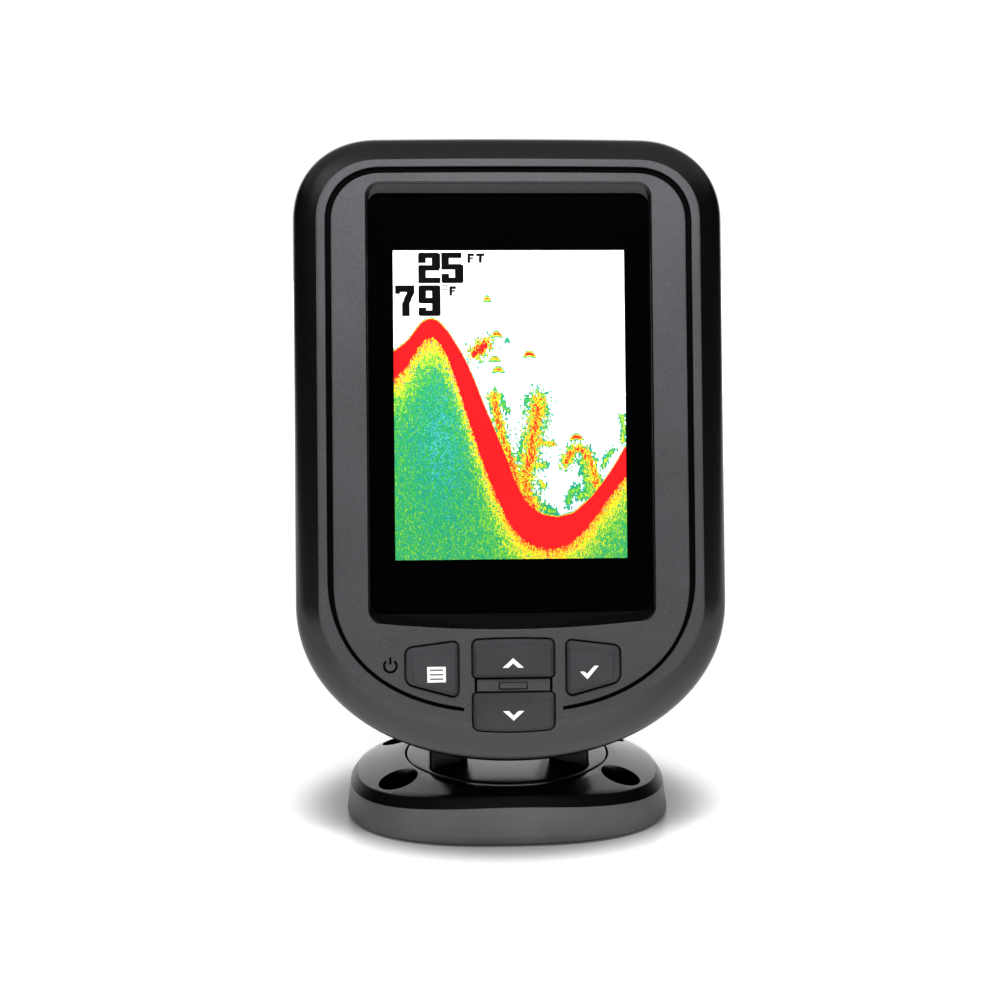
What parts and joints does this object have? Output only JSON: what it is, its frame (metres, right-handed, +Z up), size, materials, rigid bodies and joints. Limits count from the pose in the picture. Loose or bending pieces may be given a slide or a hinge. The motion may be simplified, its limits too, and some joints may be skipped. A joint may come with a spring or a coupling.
{
  "type": "fish finder",
  "caption": "Compact sonar display with a portrait screen and thumb keys, on a swivelling and tilting quick mount.",
  "frame": {"origin": "centre of the mount's underside, on the swivel axis", "axes": "+Z up from the deck, -Y the way the screen faces at rest, +X to the right seen from the front"},
  "size_m": [0.0992, 0.067, 0.1623],
  "materials": {
    "case_black": "fine texture",
    "base_black": "satin",
    "key_grey": "smooth matte",
    "seal_rubber": "matte",
    "lens_gloss": "polished",
    "panel_glass": "polished",
    "diffuser_white": "matte",
    "stainless_steel": "satin",
    "circuit_green": "solder mask",
    "chip_black": "moulded",
    "ferrite_grey": "sintered",
    "can_aluminium": "satin",
    "flex_amber": "film",
    "socket_black": "moulded",
    "contact_brass": "plated",
    "friction_nylon": "smooth",
    "knob_black": "moulded"
  },
  "bodies": {
    "base": {"base_shell": "base_black", "base_pad": "seal_rubber"},
    "swivel": {"swivel_yoke": "base_black", "swivel_washer": "stainless_steel", "swivel_retainer": "stainless_steel", "swivel_screw": "stainless_steel", "tilt_nut": "stainless_steel"},
    "knob": {"tilt_bolt": "stainless_steel", "tilt_knob": "knob_black"},
    "head": {"board_screw_1": "stainless_steel", "board_screw_2": "stainless_steel", "board_screw_3": "stainless_steel", "board_screw_4": "stainless_steel", "buzzer": "chip_black", "down_switch": "can_aluminium", "enter_switch": "can_aluminium", "front_bezel": "case_black", "housing_gasket": "seal_rubber", "housing_screw_1": "stainless_steel", "housing_screw_2": "stainless_steel", "housing_screw_3": "stainless_steel", "housing_screw_4": "stainless_steel", "housing_screw_5": "stainless_steel", "housing_screw_6": "stainless_steel", "key_board": "circuit_green", "key_ribbon": "flex_amber", "keypad_mat": "seal_rubber", "lcd_backlight": "diffuser_white", "lcd_bracket": "stainless_steel", "lcd_panel": "panel_glass", "lcd_ribbon": "flex_amber", "lens_gasket": "seal_rubber", "main_board": "circuit_green", "memory_chip": "chip_black", "menu_switch": "can_aluminium", "power_coil": "ferrite_grey", "power_converter": "chip_black", "power_pins": "contact_brass", "power_socket": "socket_black", "processor": "chip_black", "rear_housing": "case_black", "screen_lens": "lens_gloss", "sonar_pins": "contact_brass", "sonar_socket": "socket_black", "sonar_transformer": "ferrite_grey", "storage_capacitor": "can_aluminium", "tilt_washer_left": "friction_nylon", "tilt_washer_right": "friction_nylon", "up_switch": "can_aluminium"},
    "menu_key": {"menu_key": "key_grey"},
    "up_key": {"up_key": "key_grey"},
    "down_key": {"down_key": "key_grey"},
    "enter_key": {"enter_key": "key_grey"}
  },
  "joints": [
    {"name": "swivel", "type": "hinge", "parent": "base", "child": "swivel", "pos_m": [0, 0, 0.0129], "axis": [0, 0, 1], "range_deg": [-115, 115]},
    {"name": "tilt", "type": "hinge", "parent": "swivel", "child": "head", "pos_m": [0, 0.00796, 0.04428], "axis": [-1, 0, 0], "range_deg": [-9, 50]},
    {"name": "knob_turn", "type": "hinge", "parent": "swivel", "child": "knob", "pos_m": [0, 0.00796, 0.04428], "axis": [1, 0, 0], "range_deg": [-180, 180]},
    {"name": "menu_key_press", "type": "slide", "parent": "head", "child": "menu_key", "axis": [0, 0.9851, -0.1719], "range_m": [0, 0.0008], "stiffness_N_per_m": 2500, "springref_m": -0.0002},
    {"name": "up_key_press", "type": "slide", "parent": "head", "child": "up_key", "axis": [0, 0.9851, -0.1719], "range_m": [0, 0.0008], "stiffness_N_per_m": 2500, "springref_m": -0.0002},
    {"name": "down_key_press", "type": "slide", "parent": "head", "child": "down_key", "axis": [0, 0.9851, -0.1719], "range_m": [0, 0.0008], "stiffness_N_per_m": 2500, "springref_m": -0.0002},
    {"name": "enter_key_press", "type": "slide", "parent": "head", "child": "enter_key", "axis": [0, 0.9851, -0.1719], "range_m": [0, 0.0008], "stiffness_N_per_m": 2500, "springref_m": -0.0002}
  ]
}
